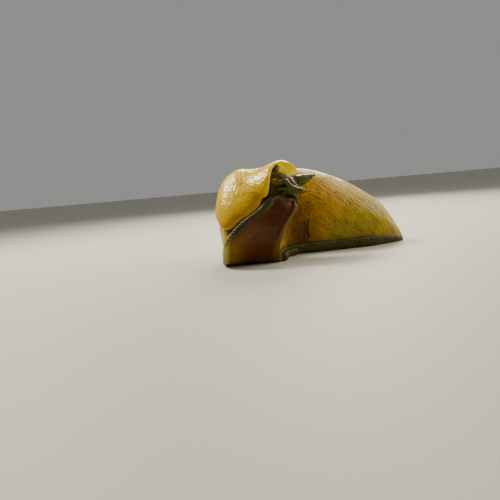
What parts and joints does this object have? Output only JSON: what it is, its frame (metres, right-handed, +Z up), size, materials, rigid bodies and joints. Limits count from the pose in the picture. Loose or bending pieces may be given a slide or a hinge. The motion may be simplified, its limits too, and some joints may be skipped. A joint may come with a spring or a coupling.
{
  "type": "banana slug",
  "caption": "Still, life-size banana slug, hunched at rest with its front end reared, its sole turned out and its head under the hood of the mantle.",
  "frame": {"origin": "on the floor under the flat sole of the rear body, at the mount sole_rest", "axes": "+X towards the tail, -Y towards the side that the raised sole faces, +Z up"},
  "size_m": [0.0809, 0.0569, 0.039],
  "materials": {
    "body_skin": "wet ochre-yellow skin with a fine net of grooves",
    "mantle_skin": "wet orange-yellow skin, finely grained, glossy",
    "foot_skin": "slimy dark brown sole with an olive-green grooved fringe",
    "head_skin": "wet grey-green translucent skin",
    "eye_black": "small glossy black eye"
  },
  "bodies": {
    "root": {"tail": "body_skin", "rear_body": "body_skin", "mid_body": "body_skin", "turn_body": "body_skin", "front_body": "body_skin", "foot_tail": "foot_skin", "foot_rear": "foot_skin", "foot_turn": "foot_skin", "foot_front": "foot_skin", "mantle": "mantle_skin", "head": "head_skin", "lips": "head_skin", "upper_tentacle_right": "head_skin", "upper_tentacle_left": "head_skin", "lower_tentacle_right": "head_skin", "lower_tentacle_left": "head_skin", "eye_right": "eye_black", "eye_left": "eye_black"}
  },
  "joints": []
}
